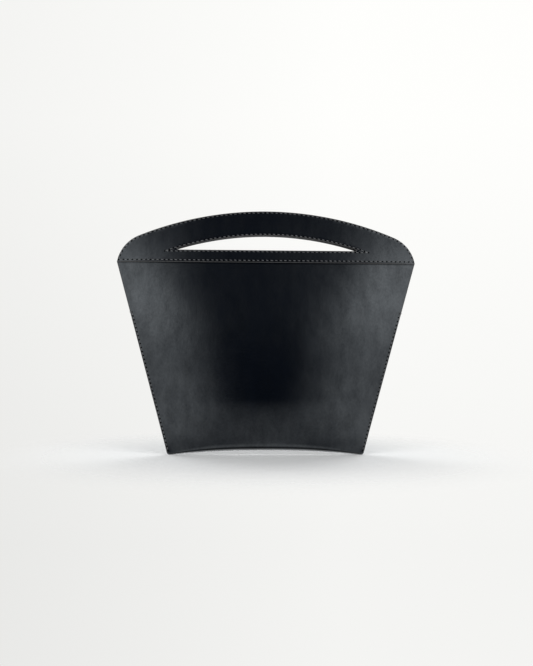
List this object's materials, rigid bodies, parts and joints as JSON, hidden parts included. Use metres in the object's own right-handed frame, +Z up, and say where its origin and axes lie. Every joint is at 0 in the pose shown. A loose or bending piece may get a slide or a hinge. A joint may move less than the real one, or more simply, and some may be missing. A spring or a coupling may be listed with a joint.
{
  "type": "trapeze handbag",
  "caption": "Flared flat handbag of one folded leather hide, sewn sides, arched top with stitched handle facings and a long hand hole through both leaves; the mouth bends open.",
  "frame": {"origin": "on the floor, midway between the two bottom corners that the bag stands on", "axes": "+X across the bag to the right as seen from the front, +Y from front to back, +Z up towards the handles"},
  "size_m": [0.42, 0.0504, 0.342],
  "materials": {
    "hide": "smooth waxed bridle leather, blue-black, soft sheen",
    "facing": "smooth waxed bridle leather, blue-black, soft sheen",
    "thread": "waxed twisted linen, black"
  },
  "bodies": {
    "bag": {"hide_body": "hide", "left_side_thread": "thread", "right_side_thread": "thread"},
    "front_leaf": {"hide_front_leaf": "hide", "front_handle_facing": "facing", "front_border_thread": "thread", "front_hand_hole_thread": "thread"},
    "back_leaf": {"hide_back_leaf": "hide", "back_handle_facing": "facing", "back_border_thread": "thread", "back_hand_hole_thread": "thread"}
  },
  "joints": [
    {"name": "front_leaf_bend", "type": "hinge", "parent": "bag", "child": "front_leaf", "pos_m": [0, -0.00175, 0.2], "axis": [1, 0, 0], "range_deg": [0, 22], "stiffness_Nm_per_rad": 1.5},
    {"name": "back_leaf_bend", "type": "hinge", "parent": "bag", "child": "back_leaf", "pos_m": [0, 0.00175, 0.2], "axis": [-1, 0, 0], "range_deg": [0, 22], "stiffness_Nm_per_rad": 1.5}
  ]
}
